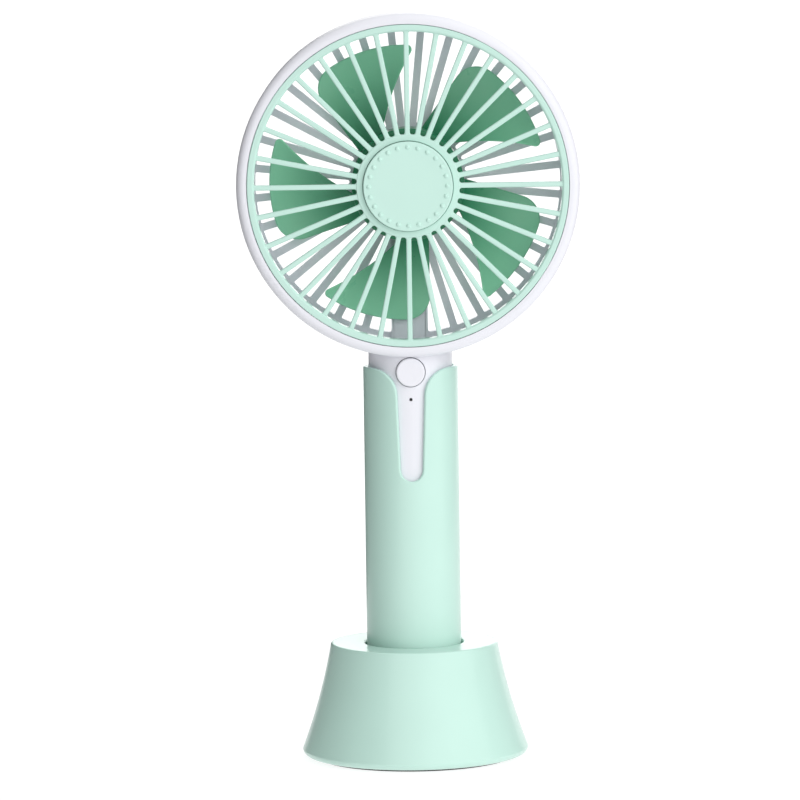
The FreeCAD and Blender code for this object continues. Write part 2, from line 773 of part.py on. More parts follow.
def make_rear_housing():
    housing = new_body("rear_housing")
    handle_half(housing, -1)
    inner = dim.head_radius - dim.ring_wall
    clear_head(housing, inner, -dim.rear_plate_front, 2)
    clear_head(housing, inner + 1.4, -1.3, 2)
    plate_front = -dim.rear_plate_front
    plate_rear = plate_front - dim.rear_plate_depth
    back = 2.6
    seat = dim.motor_rear
    profile = new_sketch(housing, "XZ_Plane")
    outline(profile, [
        (0, seat - 2.6),
        (14.0, seat - 2.2, 2.2),
        (dim.rear_middle - 0.2, plate_rear),
        (dim.rear_opening, plate_rear),
        (dim.rear_opening, -dim.ring_rear),
        (dim.head_radius - back, -dim.ring_rear, back),
        (dim.head_radius, -dim.ring_rear + back),
        (dim.head_radius, -0.1),
        (inner + 1.4, -0.1),
        (inner + 1.4, -1.3),
        (inner, -1.3),
        (inner, plate_front),
        (dim.motor_radius + 1.55, plate_front),
        (dim.motor_radius + 1.55, -5.3),
        (dim.motor_radius + 0.05, -5.3),
        (dim.motor_radius + 0.05, seat),
        (10.2, seat),
        (10.2, seat - 1.2),
        (0, seat - 1.2),
    ])
    revolve(housing, profile)
    slot = new_sketch(housing, "XY_Plane", plate_rear - 0.5)
    slot_outline(slot, dim.rear_middle, dim.rear_opening, dim.rear_spoke_width, 90)
    polar(housing, pocket(housing, slot, dim.rear_plate_depth + 1, back=True), dim.spoke_count)
    strut_rear, channel_rear, channel_front = -13.4, -11.9, -8.6
    half = dim.strut_width * 0.5
    strut = new_sketch(housing, "XY_Plane", strut_rear)
    rectangle(strut, -half, -(inner + 0.5), half, -(dim.motor_radius + 1.0))
    pad(housing, strut, channel_front - strut_rear)
    channel = new_sketch(housing, "XY_Plane", channel_rear)
    rectangle(channel, dim.strut_wall - half, -inner, half - dim.strut_wall, -(dim.motor_radius + 1.7))
    pocket(housing, channel, channel_front - channel_rear + 0.1, back=True)
    mouth = new_sketch(housing, "XY_Plane", seat - 1.2)
    rectangle(mouth, -3.4, -(dim.motor_radius + 3.0), 3.4, -9.0)
    pocket(housing, mouth, 4.4, back=True)
    passage = new_sketch(housing, "XY_Plane", -10.7)
    rectangle(passage, -3.0, -(dim.head_radius + 4), 3.0, -(inner - 1))
    pocket(housing, passage, 1.8, back=True)
    posts = new_sketch(housing, "XY_Plane", -(dim.board_face + dim.board_thickness))
    for x in (-dim.post_spread, dim.post_spread):
        circle(posts, 2.2, x, dim.post_height - dim.head_height)
    pad(housing, posts, 6.6, back=True)
    pilots = new_sketch(housing, "XY_Plane", -(dim.board_face + dim.board_thickness))
    for x in (-dim.post_spread, dim.post_spread):
        circle(pilots, 0.9, x, dim.post_height - dim.head_height)
    pocket(housing, pilots, 5.5)
    port = new_sketch(housing, "XY_Plane")
    centre = dim.port_height - dim.head_height
    wide, high = dim.port_width * 0.5 + 0.2, dim.port_thickness * 0.5 + 0.2
    rectangle(port, -wide, centre - high, wide, centre + high)
    pocket(housing, port, dim.frame_radius + 1)
    boss = new_sketch(housing, "XZ_Plane", dim.head_height - 20.2)
    circle(boss, 5.4)
    pad(housing, boss, 20.2 - dim.frame_floor)
    pilot = new_sketch(housing, "XZ_Plane", dim.head_height - 20.3)
    circle(pilot, 1.1)
    pocket(housing, pilot, 6, back=True)
    return finish(housing, "rear_housing", in_head=True)


def make_wire_cover():
    half = dim.strut_width * 0.5 - dim.strut_wall - 0.15
    cover = new_body("wire_cover")
    plan = new_sketch(cover, "XY_Plane", -9.4)
    rectangle(plan, -half, -(dim.head_radius - dim.ring_wall - 0.3), half, -(dim.motor_radius + 2.0))
    pad(cover, plan, 0.8)
    ribs = new_sketch(cover, "XY_Plane", -9.4)
    for side in (-1, 1):
        rectangle(ribs, side * 3.9 - 0.35, -44, side * 3.9 + 0.35, -18)
    pad(cover, ribs, 2.1, back=True)
    return finish(cover, "wire_cover", in_head=True)


# Front grille and aroma cup

def make_front_grille():
    grille = new_body("front_grille")
    back = dim.spoke_front - dim.spoke_depth
    plate = new_sketch(grille, "XY_Plane", back)
    circle(plate, dim.grille_opening + 0.5)
    circle(plate, dim.cup_inner + 0.4)
    pad(grille, plate, dim.spoke_depth)
    slot = new_sketch(grille, "XY_Plane", back - 0.5)
    beside_top = 90 + 180 / dim.spoke_count.value
    slot_outline(slot, dim.cup_outer, dim.grille_opening, dim.front_spoke_width, beside_top)
    polar(grille, pocket(grille, slot, dim.spoke_depth + 1, back=True), dim.spoke_count)
    rim = new_sketch(grille, "XZ_Plane")
    skirt_outer, skirt_rear = 45.7, 9.95
    shoulder_rear = 13.25
    outline(rim, [
        (dim.grille_opening, skirt_rear),
        (skirt_outer, skirt_rear),
        (skirt_outer, shoulder_rear),
        (dim.grille_outer, shoulder_rear),
        (dim.grille_outer, dim.grille_front - 0.2),
        (dim.grille_outer - 0.2, dim.grille_front),
        (dim.grille_opening + 0.5, dim.grille_front),
        (dim.grille_opening, dim.spoke_front),
    ])
    revolve(grille, rim)
    cup = new_sketch(grille, "XZ_Plane")
    cup_rise = 0.2
    outline(cup, [
        (0, dim.cup_floor),
        (dim.cup_outer - 0.6, dim.cup_floor, 0.6),
        (dim.cup_outer, dim.cup_floor + 0.6),
        (dim.cup_outer, dim.spoke_front),
        (dim.cup_outer - cup_rise, dim.spoke_front + cup_rise),
        (dim.cup_inner, dim.spoke_front + cup_rise),
        (dim.cup_inner, dim.cup_floor + 1.0),
        (0, dim.cup_floor + 1.0),
    ])
    revolve(grille, cup)
    lug = new_sketch(grille, "XY_Plane", skirt_rear)
    lug_half_angle = 5.5
    start, end = math.radians(45 - lug_half_angle), math.radians(45 + lug_half_angle)
    near, far = skirt_outer - 0.3, 46.7
    outline(lug, [
        (near * math.cos(start), near * math.sin(start)),
        (far * math.cos(start), far * math.sin(start), far),
        (far * math.cos(end), far * math.sin(end)),
        (near * math.cos(end), near * math.sin(end), -near),
    ])
    polar(grille, pad(grille, lug, 1.5), 4)
    return finish(grille, "front_grille", in_head=True)


def make_sponge():
    sponge = cylinder(11.6, 2.6, z=dim.cup_floor + 1.0)
    return finish(group([sponge]), "aroma_sponge", in_head=True)


def make_aroma_cap():
    cap = new_body("aroma_cap")
    skirt = 1.2
    face = 1.0
    edge = 0.35
    profile = new_sketch(cap, "XZ_Plane")
    outline(profile, [
        (dim.cap_radius - skirt, 13.4),
        (dim.cap_radius, 13.4),
        (dim.cap_radius, dim.cap_front - edge, edge),
        (dim.cap_radius - edge, dim.cap_front),
        (0, dim.cap_front),
        (0, dim.cap_front - face),
        (dim.cap_radius - skirt, dim.cap_front - face),
    ])
    revolve(cap, profile)
    bead = cap.newObject("PartDesign::AdditiveSphere", "aroma_cap_bead")
    bead.AttachmentSupport = [(origin_feature(cap, "XY_Plane"), "")]
    bead.MapMode = "FlatFace"
    bead.setExpression("AttachmentOffset.Base.y", dim.bead_circle.formula)
    bead.setExpression("AttachmentOffset.Base.z", (dim.cap_front - 0.3).formula)
    bind(bead, Radius=dim.bead_radius)
    cap.Tip = bead
    polar(cap, bead, dim.bead_count)
    return finish(cap, "aroma_cap", in_head=True)


# Rotor

def blade_section(distance, middle, width, slope):
    """One section of the blade, at a distance out from the axis: a thin hollow-fronted strip.
    Sketch X runs clockwise round the axis as seen from the front, and sketch Y runs to the front."""
    section = doc.addObject("Sketcher::SketchObject", "blade_section")
    half = width / 2
    rise = half * slope
    bow = 1.9 * width
    outline(section, [
        (middle - half, -rise, bow),
        (middle + half, rise),
        (middle + half, sized(rise) - dim.blade_thickness, -bow),
        (middle - half, sized(-rise) - dim.blade_thickness),
    ])
    matrix = FreeCAD.Matrix(0, 0, -1, distance, -1, 0, 0, 0, 0, 1, 0, 0, 0, 0, 0, 1)
    section.Placement = FreeCAD.Placement(matrix)
    return section


def blade_plan():
    """The blade seen from the front, pointing along X, as a tall prism."""
    plan = new_body("blade_plan")
    lead, trail = math.radians(24.7), math.radians(23.8)
    tip = dim.tip_radius
    sketch = new_sketch(plan, "XY_Plane", -14)
    outline(sketch, [
        (11.0, 9.37),
        (tip * math.cos(lead), tip * math.sin(lead), -tip),
        (tip * math.cos(trail), tip * -math.sin(trail), 71),
        (12.0, 4.2),
    ])
    pad(plan, sketch, 28)

    def corner_edge(edge, side):
        middle = edge.BoundBox.Center
        return edge.BoundBox.ZLength > 20 and middle.x > 30 and middle.y * side > 0

    rounded(plan, 7.0, lambda edge: corner_edge(edge, 1))
    rounded(plan, 1.4, lambda edge: corner_edge(edge, -1))
    return plan


def make_rotor():
    hub = new_body("rotor_hub")
    wall = dim.hub_wall
    boss_rear = 1.9
    profile = new_sketch(hub, "XZ_Plane")
    outline(profile, [
        (dim.shaft_radius, boss_rear),
        (3.0, boss_rear),
        (3.0, dim.hub_front - wall),
        (dim.hub_radius - wall, dim.hub_front - wall),
        (dim.hub_radius - wall, dim.hub_rear),
        (dim.hub_radius, dim.hub_rear),
        (dim.hub_radius, dim.hub_front - 1.2, 1.2),
        (dim.hub_radius - 1.2, dim.hub_front),
        (dim.shaft_radius, dim.hub_front),
    ])
    revolve(hub, profile)
    sections = [
        blade_section(10, -7.2, 12, 1.25),
        blade_section(21, -5.7, 20, 0.78),
        blade_section(32, -2.4, 32, 0.467),
        blade_section(43, 1.5, 42, 0.38),
    ]
    strip = doc.addObject("Part::Loft", "blade_strip")
    strip.Sections = sections
    strip.Solid = True
    strip.Ruled = False
    blade = common(strip, blade_plan())
    inner = cylinder(dim.hub_radius - wall * 0.5, 60, z=-30)
    trimmed = cut(blade, inner)
    count = int(dim.blade_count.value)
    blades = []
    for number in range(count):
        copy = doc.addObject("App::Link", "blade")
        copy.LinkedObject = trimmed
        copy.LinkTransform = True
        angle = 90 - dim.blade_rest_angle.value - 360 * number / count
        copy.Placement = FreeCAD.Placement(FreeCADVector(), FreeCAD.Rotation(FreeCADVector(0, 0, 1), angle))
        blades.append(copy)
    doc.recompute()
    return finish(fuse(hub, *blades), "rotor", in_head=True)


# Motor, drawn in the head frame

def make_shaft():
    rear = -12.6
    shaft = cylinder(dim.shaft_radius, dim.hub_front - rear - 2.1, z=rear)
    return finish(group([shaft]), "motor_shaft", in_head=True)


def make_motor_can():
    can = new_body("motor_can")
    inner = dim.motor_radius - dim.motor_wall
    profile = new_sketch(can, "XZ_Plane")
    outline(profile, [
        (inner, -11.0),
        (dim.motor_radius, -11.0),
        (dim.motor_radius, dim.motor_front - 0.8, 0.8),
        (dim.motor_radius - 0.8, dim.motor_front),
        (3.6, dim.motor_front),
        (3.6, dim.motor_front + 1.1),
        (3.0, dim.motor_front + 1.1),
        (3.0, dim.motor_front - dim.motor_wall),
        (inner, dim.motor_front - dim.motor_wall),
    ])
    revolve(can, profile)
    return finish(can, "motor_can", in_head=True)


def make_motor_end_cap():
    cap = new_body("motor_end_cap")
    profile = new_sketch(cap, "XZ_Plane")
    outline(profile, [
        (3.0, dim.motor_rear),
        (dim.motor_radius, dim.motor_rear),
        (dim.motor_radius, -11.0),
        (dim.motor_radius - dim.motor_wall, -11.0),
        (dim.motor_radius - dim.motor_wall, -9.8),
        (3.0, -9.8),
    ])
    revolve(cap, profile)
    slots = new_sketch(cap, "XY_Plane", dim.motor_rear - 0.1)
    for side in (-1, 1):
        rectangle(slots, side * 2.0 - 0.85, -8.95, side * 2.0 + 0.85, -8.45)
    pocket(cap, slots, 3, back=True)
    return finish(cap, "motor_end_cap", in_head=True)


def make_bearings():
    bore = dim.shaft_radius + 0.03
    front = cut(cylinder(3.0, 2.0, z=-0.7), cylinder(bore, 8, z=-4))
    rear = cut(cylinder(3.0, 2.0, z=-11.9), cylinder(bore, 8, z=-15))
    return finish(group([front, rear]), "motor_bearings", in_head=True)


def make_magnets():
    outer = dim.motor_radius - dim.motor_wall
    ring = cut(cylinder(outer, 7.6, z=-8.8), cylinder(9.3, 9, z=-9.5))
    gap = block(4.5, 30, 10, z=-9.8)
    return finish(cut(ring, gap), "motor_magnets", in_head=True)


def make_armature():
    core = cylinder(4.0, 4.4, z=-6.8)
    arms = []
    shoes = cut(cylinder(8.9, 4.4, z=-6.8), cylinder(7.7, 6, z=-7.5))
    gaps = []
    for number in range(3):
        angle = 90 + 120 * number
        arm = doc.addObject("Part::Box", "arm")
        bind(arm, Length=Size(8.2), Width=Size(2.4), Height=Size(4.4))
        spin = FreeCAD.Rotation(FreeCADVector(0, 0, 1), angle)
        arm_corner = spin.multVec(FreeCADVector(0, -1.2, 0)) + FreeCADVector(0, 0, -6.8)
        arm.Placement = FreeCAD.Placement(arm_corner, spin)
        arms.append(arm)
        opening = doc.addObject("Part::Box", "opening")
        bind(opening, Length=Size(12), Width=Size(1.8), Height=Size(8))
        spin = FreeCAD.Rotation(FreeCADVector(0, 0, 1), angle + 60)
        offset = spin.multVec(FreeCADVector(4.5, -0.9, 0))
        opening.Placement = FreeCAD.Placement(offset + FreeCADVector(0, 0, -8), spin)
        gaps.append(opening)
    bore = cylinder(dim.shaft_radius, 12, z=-10)
    return finish(cut(fuse(core, *arms, cut(shoes, *gaps)), bore), "armature_core", in_head=True)


def make_windings():
    coils = []
    for number in range(3):
        angle = 90 + 120 * number
        coil = doc.addObject("Part::Box", "coil")
        bind(coil, Length=Size(2.5), Width=Size(5.4), Height=Size(6.4))
        slot = doc.addObject("Part::Box", "slot")
        bind(slot, Length=Size(6), Width=Size(2.4), Height=Size(4.4))
        spin = FreeCAD.Rotation(FreeCADVector(0, 0, 1), angle)
        coil_corner = spin.multVec(FreeCADVector(4.5, -2.7, 0)) + FreeCADVector(0, 0, -7.8)
        coil.Placement = FreeCAD.Placement(coil_corner, spin)
        slot_corner = spin.multVec(FreeCADVector(3, -1.2, 0)) + FreeCADVector(0, 0, -6.8)
        slot.Placement = FreeCAD.Placement(slot_corner, spin)
        coils.append(cut(coil, slot))
    return finish(group(coils), "armature_windings", in_head=True)


def make_commutator():
    drum = cut(cylinder(2.5, 2.4, z=-9.4), cylinder(dim.shaft_radius, 6, z=-11))
    return finish(drum, "commutator", in_head=True)


def make_brushes():
    brushes = []
    for side in (-1, 1):
        brushes.append(block(0.5, 7.2, 1.6, side * 2.85, -4.9 + 2.0, -9.5))
    return finish(group(brushes), "motor_brushes", in_head=True)


def make_terminals():
    tabs = [block(1.6, 0.4, 3.9, side * 2.0, -8.7, -13.1) for side in (-1, 1)]
    return finish(group(tabs), "motor_terminals", in_head=True)


# Wires

def bent_path(points, bend):
    """Straight runs through the points, joined by tangent arcs."""
    edges = []
    start = points[0]
    for before, corner, after in zip(points, points[1:], points[2:]):
        into = (corner - before).normalize()
        out = (after - corner).normalize()
        turn = into.getAngle(out)
        reach = bend * math.tan(turn / 2)
        first, last = corner - into * reach, corner + out * reach
        towards = (out - into).normalize()
        centre = corner + towards * (bend / math.cos(turn / 2))
        middle = centre - towards * bend
        edges.append(Part.LineSegment(start, first).toShape())
        edges.append(Part.Arc(first, middle, last).toShape())
        start = last
    edges.append(Part.LineSegment(start, points[-1]).toShape())
    return Part.Wire(edges)


def make_wire(label, x, route, bend, in_head):
    """A round wire along a route of (y, z) points, all at the same x."""
    points = [FreeCADVector(x, y, z) for y, z in route]
    path = bent_path(points, bend)
    section = Part.Wire(Part.makeCircle(dim.wire_radius.value, points[0], points[1] - points[0]))
    item = doc.addObject("Part::Feature", label)
    item.Shape = path.makePipeShell([section], True, True)
    expected = math.pi * dim.wire_radius.value ** 2 * path.Length
    if abs(item.Shape.Volume - expected) > 0.02 * expected:
        raise ValueError(f"{label} isn't a round wire of its full length")
    return finish(item, label, in_head)


def make_motor_wires():
    run = -10.0
    head = dim.head_height.value
    board_rear = -(dim.board_face.value + dim.board_thickness.value)
    route = [(-9.5, -12.55), (-12.4, -12.55), (-15.6, run), (112.5 - head, run), (112.5 - head, board_rear)]
    make_wire("motor_wire_red", 2.0, route, 1.6, True)
    make_wire("motor_wire_black", -2.0, route, 1.6, True)


def make_battery_wires():
    board_rear = dim.board_face.value + dim.board_thickness.value
    low = dim.cell_bottom.value
    high = dim.cell_bottom.value + dim.cell_length.value
    track = 10.05
    lower_route = [(8.0, low - 0.75), (track, low - 0.75), (track, 90.0), (board_rear, 90.0)]
    upper_route = [(4.5, high + 0.2), (4.5, high + 5.5), (board_rear, high + 5.5)]
    make_wire("battery_wire_black", 0.0, lower_route, 1.3, False)
    make_wire("battery_wire_red", -2.0, upper_route, 1.2, False)


for make in (
    make_stand_shell, make_base_plate, make_foot_ring, make_stand_screws,
    make_handle_sleeve, make_sleeve_screw, make_battery, make_battery_tabs, make_battery_wires,
    make_board, make_board_components, make_board_screws, make_switch, make_light, make_light_pipe,
    make_port, make_button, make_plunger,
    make_front_housing, make_rear_housing, make_wire_cover,
    make_front_grille, make_sponge, make_aroma_cap,
    make_rotor, make_shaft, make_armature, make_windings, make_commutator,
    make_motor_can, make_motor_end_cap, make_bearings, make_magnets, make_brushes, make_terminals,
    make_motor_wires,
):
    make()
doc.recompute()

for item in doc.Objects:
    if "Invalid" in item.State or "Error" in item.State:
        raise ValueError(f"{item.Name} failed: {item.State}")
for item in parts:
    if item.Shape.isNull() or not item.Shape.isValid():
        raise ValueError(f"{item.Label} has no valid shape")

os.makedirs("parts", exist_ok=True)
for item in parts:
    item.Shape.exportStep(f"parts/{item.Label}.step")
    print(f"{item.Label}: {len(item.Shape.Solids)} solids, {item.Shape.Volume / 1000:.3f} cm3")
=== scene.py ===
import json
import math

import bmesh
import bpy
import numpy as np
from mathutils import Matrix, Vector
from mathutils.geometry import delaunay_2d_cdt


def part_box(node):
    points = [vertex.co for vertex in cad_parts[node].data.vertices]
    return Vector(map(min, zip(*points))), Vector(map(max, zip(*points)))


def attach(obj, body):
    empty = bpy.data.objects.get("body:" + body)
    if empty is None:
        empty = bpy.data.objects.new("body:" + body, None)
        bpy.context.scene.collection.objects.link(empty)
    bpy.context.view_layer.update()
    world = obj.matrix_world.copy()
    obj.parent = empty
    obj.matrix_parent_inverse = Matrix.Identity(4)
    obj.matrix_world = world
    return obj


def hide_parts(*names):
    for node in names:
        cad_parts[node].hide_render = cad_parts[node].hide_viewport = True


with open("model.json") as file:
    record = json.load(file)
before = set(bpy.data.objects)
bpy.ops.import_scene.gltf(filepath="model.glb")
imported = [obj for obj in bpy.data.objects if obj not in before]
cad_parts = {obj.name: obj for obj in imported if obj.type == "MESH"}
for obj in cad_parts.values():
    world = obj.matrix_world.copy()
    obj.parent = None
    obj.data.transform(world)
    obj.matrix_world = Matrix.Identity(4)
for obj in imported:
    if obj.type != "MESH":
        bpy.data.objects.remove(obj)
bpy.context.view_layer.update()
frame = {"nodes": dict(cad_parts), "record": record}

MM = 0.001

# The height of the head's centre, in metres. The head is round, and its top is one radius higher.
head_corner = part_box("front_housing")[1]
HEAD_Z = head_corner.z - head_corner.x


# Materials

def shader_of(name, colour, roughness, metallic=0.0):
    """A new material, its node tree and its shader, with the plain values set on the shader."""
    material = bpy.data.materials.new(name)
    material.use_nodes = True
    tree = material.node_tree
    shader = tree.nodes["Principled BSDF"]
    shader.inputs["Base Color"].default_value = (*colour, 1.0)
    shader.inputs["Roughness"].default_value = roughness
    shader.inputs["Metallic"].default_value = metallic
    return material, tree, shader


def noise(tree, scale, detail=4.0, stretch=(1, 1, 1)):
    """A noise texture in the piece's own coordinates, in cycles per metre, stretched on its axes."""
    place = tree.nodes.new("ShaderNodeTexCoord")
    mapping = tree.nodes.new("ShaderNodeMapping")
    mapping.inputs["Scale"].default_value = stretch
    texture = tree.nodes.new("ShaderNodeTexNoise")
    texture.inputs["Scale"].default_value = scale
    texture.inputs["Detail"].default_value = detail
    tree.links.new(place.outputs["Object"], mapping.inputs["Vector"])
    tree.links.new(mapping.outputs["Vector"], texture.inputs["Vector"])
    return texture.outputs["Fac"]


def ranged(tree, value, low, high):
    """The texture's value spread from low to high."""
    node = tree.nodes.new("ShaderNodeMapRange")
    node.inputs["From Min"].default_value = 0.3
    node.inputs["From Max"].default_value = 0.7
    node.inputs["To Min"].default_value = low
    node.inputs["To Max"].default_value = high
    tree.links.new(value, node.inputs["Value"])
    return node.outputs["Result"]


def vary_colour(tree, shader, value, first, second):
    """Base colour between two colours, by a texture's value."""
    ramp = tree.nodes.new("ShaderNodeValToRGB")
    ramp.color_ramp.elements[0].position = 0.3
    ramp.color_ramp.elements[0].color = (*first, 1.0)
    ramp.color_ramp.elements[1].position = 0.7
    ramp.color_ramp.elements[1].color = (*second, 1.0)
    tree.links.new(value, ramp.inputs["Fac"])
    tree.links.new(ramp.outputs["Color"], shader.inputs["Base Color"])


def bump(tree, shader, value, distance, strength):
    """Relief from a texture, with its greatest height in metres."""
    node = tree.nodes.new("ShaderNodeBump")
    node.inputs["Distance"].default_value = distance
    node.inputs["Strength"].default_value = strength
    tree.links.new(value, node.inputs["Height"])
    tree.links.new(node.outputs["Normal"], shader.inputs["Normal"])


def shade(colour, factor):
    """The colour made darker or lighter."""
    return tuple(min(1.0, part * factor) for part in colour)


CLOUD_SCALE = 60
SMUDGE_SCALE = 700
MOULD_GRAIN = 2600
GLOSS_SPREAD = 0.015
GRAIN_STRENGTH = 0.6


def moulded(name, colour, roughness, grain=MOULD_GRAIN, depth=0.000003, variation=0.01, coat=0.0):
    """Moulded plastic: a faint mottle in the colour, uneven gloss and the fine grain of the mould."""
    material, tree, shader = shader_of(name, colour, roughness)
    cloud = noise(tree, CLOUD_SCALE, 3.0)
    vary_colour(tree, shader, cloud, shade(colour, 1 - variation), shade(colour, 1 + variation))
    smudge = noise(tree, SMUDGE_SCALE, 3.0)
    gloss = ranged(tree, smudge, roughness - GLOSS_SPREAD, roughness + GLOSS_SPREAD)
    tree.links.new(gloss, shader.inputs["Roughness"])
    bump(tree, shader, noise(tree, grain, 2.0), depth, GRAIN_STRENGTH)
    shader.inputs["Coat Weight"].default_value = coat
    shader.inputs["Coat Roughness"].default_value = 0.05
    return material


def metal(name, colour, roughness, stretch=(1, 1, 1)):
    """Bare metal with fine drawn or turned lines."""
    material, tree, shader = shader_of(name, colour, roughness, metallic=1.0)
    lines = noise(tree, 1800, 3.0, stretch)
    vary_colour(tree, shader, lines, shade(colour, 0.9), shade(colour, 1.06))
    gloss = ranged(tree, lines, roughness - 0.08, roughness + 0.1)
    tree.links.new(gloss, shader.inputs["Roughness"])
    bump(tree, shader, lines, distance=0.00001, strength=0.5)
    return material


def shade_towards_hub(name, near, far, start, end, roughness):
    """Plastic with painted shade: dark near the fan's axis, where the hub and grille shade the blades,
    and paler from start to end, in metres from the axis."""
    material, tree, shader = shader_of(name, near, roughness)
    place = tree.nodes.new("ShaderNodeTexCoord")
    shift = tree.nodes.new("ShaderNodeMapping")
    shift.inputs["Location"].default_value = (0, 0, -HEAD_Z)
    shift.inputs["Scale"].default_value = (1, 0, 1)
    length = tree.nodes.new("ShaderNodeVectorMath")
    length.operation = "LENGTH"
    spread = tree.nodes.new("ShaderNodeMapRange")
    spread.inputs["From Min"].default_value = start
    spread.inputs["From Max"].default_value = end
    tree.links.new(place.outputs["Object"], shift.inputs["Vector"])
    tree.links.new(shift.outputs["Vector"], length.inputs[0])
    tree.links.new(length.outputs["Value"], spread.inputs["Value"])
    ramp = tree.nodes.new("ShaderNodeValToRGB")
    ramp.color_ramp.elements[0].color = (*near, 1.0)
    ramp.color_ramp.elements[1].color = (*far, 1.0)
    tree.links.new(spread.outputs["Result"], ramp.inputs["Fac"])
    tree.links.new(ramp.outputs["Color"], shader.inputs["Base Color"])
    gloss = ranged(tree, noise(tree, 120, 5.0), roughness - 0.03, roughness + 0.03)
    tree.links.new(gloss, shader.inputs["Roughness"])
    bump(tree, shader, noise(tree, MOULD_GRAIN, 2.0), 0.000008, GRAIN_STRENGTH)
    return material


MINT = (0.535, 0.775, 0.690)
WHITE = (0.80, 0.805, 0.86)
# The rotor's greens are painted shade: dark at the hub, paling to the plastic's own green at the tips
GREEN_SHADED_AT_HUB, GREEN_AT_TIPS = (0.02, 0.22, 0.10), (0.31, 0.73, 0.48)
FOOT_BLACK = (0.035, 0.036, 0.038)
FELT = (0.62, 0.60, 0.50)

MATERIALS = {
    "mint_gloss": moulded("mint_plastic", MINT, 0.3, coat=0.2),
    "mint_cap": moulded("mint_cap_plastic", shade(MINT, 1.02), 0.30, coat=0.2),
    "base_plastic": moulded("mint_matt_plastic", shade(MINT, 0.96), 0.5, grain=1500, depth=0.00003),
    "white_plastic": moulded("white_plastic", WHITE, 0.32),
    "white_button": moulded("white_button_plastic", WHITE, 0.2, coat=0.3),
    # The rotor's colour carries painted shade towards the hub
    "rotor_green": shade_towards_hub("rotor_plastic_hub_shade", GREEN_SHADED_AT_HUB, GREEN_AT_TIPS, 0.017, 0.041, 0.3),
    "foot_rubber": moulded("foot_rubber", FOOT_BLACK, 0.72, grain=1200, depth=0.00006, variation=0.1),
    "screw_steel": metal("screw_steel", (0.55, 0.55, 0.57), 0.32),
    "shaft_steel": metal("shaft_steel", (0.62, 0.62, 0.64), 0.22, (1, 0.1, 1)),
    "can_steel": metal("can_steel", (0.56, 0.57, 0.60), 0.30, (1, 0.1, 1)),
    "nickel_tab": metal("nickel_tab", (0.62, 0.60, 0.56), 0.28),
    "port_steel": metal("port_steel", (0.60, 0.60, 0.62), 0.28),
    "cell_wrap": moulded("cell_wrap", (0.03, 0.13, 0.42), 0.28, grain=700, depth=0.00003),
    "board_laminate": moulded("board_laminate", (0.012, 0.12, 0.05), 0.35, grain=900, depth=0.00002),
    "chip_epoxy": moulded("chip_epoxy", (0.015, 0.015, 0.016), 0.55, grain=4000, depth=0.00001),
    "switch_plastic": moulded("switch_plastic", (0.02, 0.02, 0.022), 0.5),
    "led_clear": moulded("led_epoxy", (0.75, 0.75, 0.70), 0.15),
    "pipe_smoke": moulded("smoked_acrylic", (0.006, 0.006, 0.007), 0.12),
    "sponge_foam": moulded("felt_disc", FELT, 0.9, grain=1500, depth=0.0003, variation=0.12),
    "coil_copper": metal("coil_copper", (0.62, 0.25, 0.10), 0.35),
    "commutator_copper": metal("commutator_copper", (0.68, 0.33, 0.17), 0.28),
    "core_steel": metal("core_steel", (0.26, 0.26, 0.27), 0.42, (0.2, 6, 0.2)),
    "bush_bronze": metal("bush_bronze", (0.45, 0.30, 0.13), 0.45),
    "magnet_ferrite": moulded("magnet_ferrite", (0.03, 0.03, 0.033), 0.65, grain=2200, depth=0.00004),
    "end_cap_plastic": moulded("end_cap_plastic", (0.66, 0.66, 0.60), 0.48),
    "brush_spring": metal("brush_spring", (0.62, 0.40, 0.16), 0.3),
    "wire_red": moulded("wire_red", (0.36, 0.01, 0.01), 0.4),
    "wire_black": moulded("wire_black", (0.012, 0.012, 0.012), 0.42),
}

for row in frame["record"]["subparts"]:
    node = frame["nodes"][row["node"]]
    node.data.materials.clear()
    node.data.materials.append(MATERIALS[row["material_slot"]])


# Mesh tools. Shapes are drawn flat, in millimetres, as u and v with w for the thickness, and then a
# warp function puts them in their place.

class Skin:
    """A mesh under construction: welded points, each with its own normal, and faces."""

    def __init__(self, warp):
        self.warp = warp
        self.points, self.normals, self.faces, self.found = [], [], [], {}

    def vertex(self, flat, normal):
        """The number of the point at (u, v, w), its normal turned as the warp turns the surface."""
        step = 1e-3
        u, v, w = flat
        point = self.warp(u, v, w)
        along_u = self.warp(u + step, v, w) - point
        along_v = self.warp(u, v + step, w) - point
        along_w = self.warp(u, v, w + step) - point
        key = tuple(round(value * 1e4) for value in point)
        if key not in self.found:
            jacobian = Matrix((along_u / step, along_v / step, along_w / step))
            self.found[key] = len(self.points)
            self.points.append(point * MM)
            self.normals.append((jacobian.inverted() @ Vector(normal)).normalized())
        return self.found[key]

    def face(self, corners):
        """A face with any repeated corner left out."""
        kept = [corner for place, corner in enumerate(corners) if corner not in corners[:place]]
        if len(kept) > 2:
            self.faces.append(kept)

    def piece(self, name, material):
        """The finished object, smooth shaded."""
        mesh = bpy.data.meshes.new(name)
        mesh.from_pydata(self.points, [], self.faces)
        build = bmesh.new()
        build.from_mesh(mesh)
        bmesh.ops.recalc_face_normals(build, faces=build.faces)
        build.to_mesh(mesh)
        build.free()
        mesh.shade_smooth()
        mesh.normals_split_custom_set_from_vertices(self.normals)
        mesh.materials.append(material)
        item = bpy.data.objects.new(name, mesh)
        bpy.context.scene.collection.objects.link(item)
        return item


def arc(x, y, radius, start, end, count):
    """Points on an arc, with the angles in degrees."""
    turn = [math.radians(start + (end - start) * step / count) for step in range(count + 1)]
    return [Vector((x + radius * math.cos(angle), y + radius * math.sin(angle))) for angle in turn]


def outward(points, closed=True):
    """Each point's normal, to the right of the way along the line. The material is on the left."""
    normals = []
    last = len(points) - 1
    for place, point in enumerate(points):
        before = points[place - 1] if closed or place > 0 else point
        after = points[(place + 1) % len(points)] if closed or place < last else point
        way = (after - before).normalized()
        normals.append(Vector((way.y, -way.x)))
    return normals


